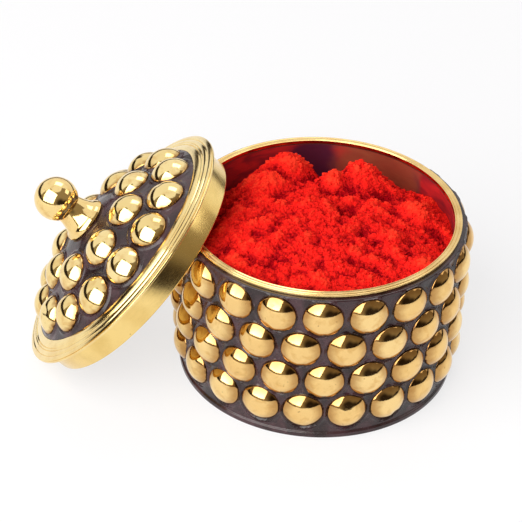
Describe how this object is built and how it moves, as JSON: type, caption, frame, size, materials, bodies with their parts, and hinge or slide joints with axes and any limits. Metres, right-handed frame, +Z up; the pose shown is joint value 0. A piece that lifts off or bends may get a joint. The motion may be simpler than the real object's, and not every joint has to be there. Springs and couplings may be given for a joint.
{
  "type": "kumkum box",
  "caption": "Round powder box: brass cup coated in dark lac with rows of domed brass studs, full of red powder, and its studded lid with a ball knob, off and leaning on the mouth.",
  "frame": {"origin": "centre of the box's underside, on the surface it stands on", "axes": "+Z up through the middle of the mouth; -Y faces the viewer of the picture; the lid leans on the box's -X side"},
  "size_m": [0.1117, 0.0768, 0.0559],
  "materials": {
    "cup_brass": "spun brass, lightly tarnished inside",
    "ring_brass": "turned pale brass with fine lathe lines",
    "stud_brass": "mirror-polished domed brass",
    "knob_brass": "turned and polished brass",
    "satin_brass": "satin brass",
    "lac": "glossy dark purple-brown lac, a resin",
    "kumkum_powder": "matte bright red powder"
  },
  "bodies": {
    "box": {"inner_cup": "cup_brass", "base_plate": "cup_brass", "mouth_ring": "ring_brass", "body_lac": "lac", "studs_row_1": "stud_brass", "studs_row_2": "stud_brass", "studs_row_3": "stud_brass", "studs_row_4": "stud_brass", "kumkum_heap": "kumkum_powder"},
    "lid": {"lid_rim_ring": "ring_brass", "lid_collar": "satin_brass", "lid_crown": "satin_brass", "lid_lac": "lac", "lid_studs_outer": "stud_brass", "lid_studs_inner": "stud_brass", "lid_knob": "knob_brass", "knob_washer": "satin_brass", "knob_rivet": "satin_brass"}
  },
  "joints": [
    {"name": "lid_lift", "type": "slide", "parent": "box", "child": "lid", "axis": [0, 0, 1], "range_m": [0, 0.06]}
  ]
}
